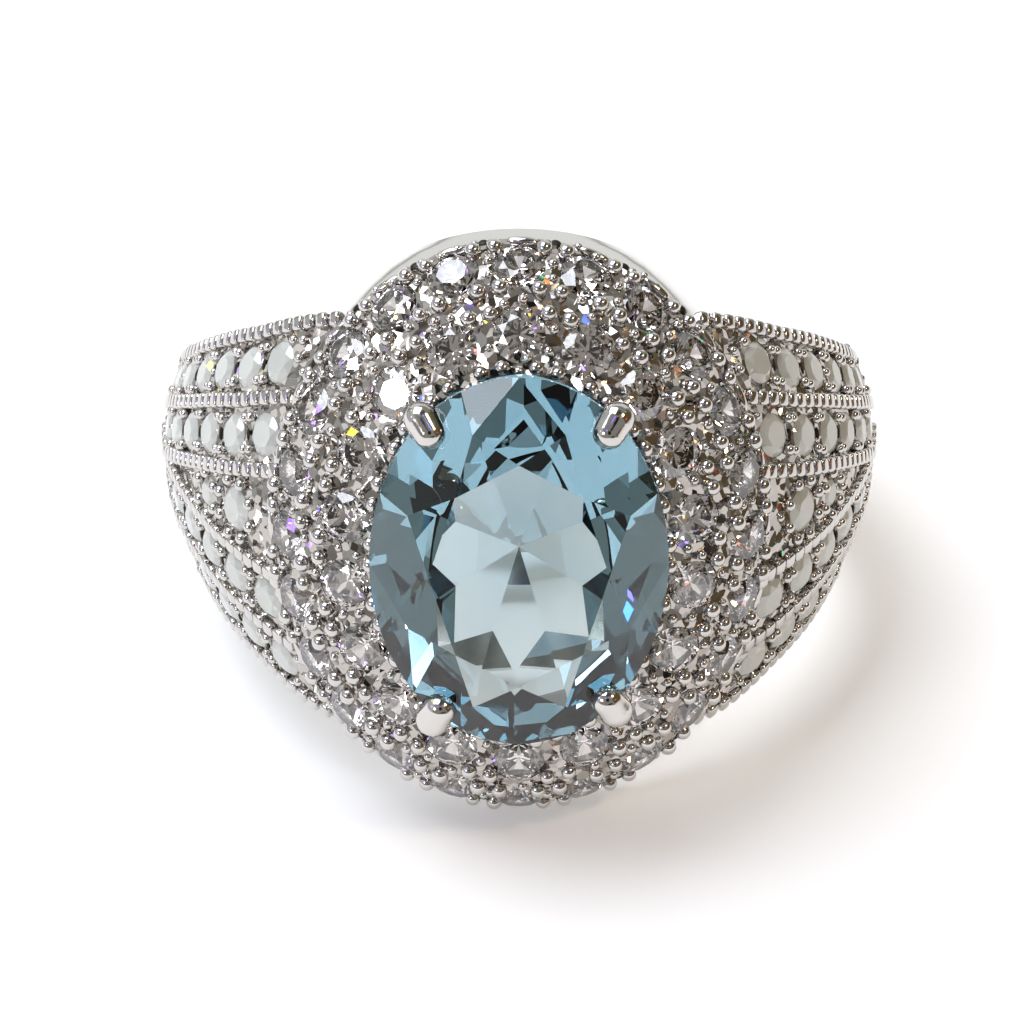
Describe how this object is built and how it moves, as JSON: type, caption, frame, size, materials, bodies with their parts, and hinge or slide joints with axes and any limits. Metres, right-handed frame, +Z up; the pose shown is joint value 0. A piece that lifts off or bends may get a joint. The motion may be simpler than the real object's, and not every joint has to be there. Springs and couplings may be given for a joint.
{
  "type": "cocktail ring",
  "caption": "Dress ring with a large oval claw-set stone, a domed pave halo and pave shoulders tapering to a plain shank, lying on its side.",
  "frame": {"origin": "centre of the bounding box at the level of the table the ring lies on", "axes": "+Z up from the table, +X to the ring's right as its stone is faced, the large stone faces -Y and tips up, +Y runs back to the shank"},
  "size_m": [0.0204, 0.0236, 0.0157],
  "materials": {
    "rhodium_silver": "polished rhodium plated silver",
    "blue_stone": "polished facets, sky blue",
    "white_stone": "polished facets, colourless"
  },
  "bodies": {
    "root": {"centre_stone": "blue_stone", "claw_setting": "rhodium_silver", "halo_inner_stone_01": "white_stone", "halo_inner_stone_02": "white_stone", "halo_inner_stone_03": "white_stone", "halo_inner_stone_04": "white_stone", "halo_inner_stone_05": "white_stone", "halo_inner_stone_06": "white_stone", "halo_inner_stone_07": "white_stone", "halo_inner_stone_08": "white_stone", "halo_inner_stone_09": "white_stone", "halo_inner_stone_10": "white_stone", "halo_inner_stone_11": "white_stone", "halo_inner_stone_12": "white_stone", "halo_inner_stone_13": "white_stone", "halo_inner_stone_14": "white_stone", "halo_inner_stone_15": "white_stone", "halo_inner_stone_16": "white_stone", "halo_inner_stone_17": "white_stone", "halo_inner_stone_18": "white_stone", "halo_outer_stone_01": "white_stone", "halo_outer_stone_02": "white_stone", "halo_outer_stone_03": "white_stone", "halo_outer_stone_04": "white_stone", "halo_outer_stone_05": "white_stone", "halo_outer_stone_06": "white_stone", "halo_outer_stone_07": "white_stone", "halo_outer_stone_08": "white_stone", "halo_outer_stone_09": "white_stone", "halo_outer_stone_10": "white_stone", "halo_outer_stone_11": "white_stone", "halo_outer_stone_12": "white_stone", "halo_outer_stone_13": "white_stone", "halo_outer_stone_14": "white_stone", "halo_outer_stone_15": "white_stone", "halo_outer_stone_16": "white_stone", "halo_outer_stone_17": "white_stone", "halo_outer_stone_18": "white_stone", "halo_outer_stone_19": "white_stone", "halo_outer_stone_20": "white_stone", "halo_outer_stone_21": "white_stone", "halo_outer_stone_22": "white_stone", "halo_outer_stone_23": "white_stone", "halo_outer_stone_24": "white_stone", "ring_body": "rhodium_silver", "shoulder_left_lower_inner_stones": "white_stone", "shoulder_left_lower_outer_stones": "white_stone", "shoulder_left_upper_inner_stones": "white_stone", "shoulder_left_upper_outer_stones": "white_stone", "shoulder_left_wedge_stones": "white_stone", "shoulder_right_lower_inner_stones": "white_stone", "shoulder_right_lower_outer_stones": "white_stone", "shoulder_right_upper_inner_stones": "white_stone", "shoulder_right_upper_outer_stones": "white_stone", "shoulder_right_wedge_stones": "white_stone"}
  },
  "joints": []
}
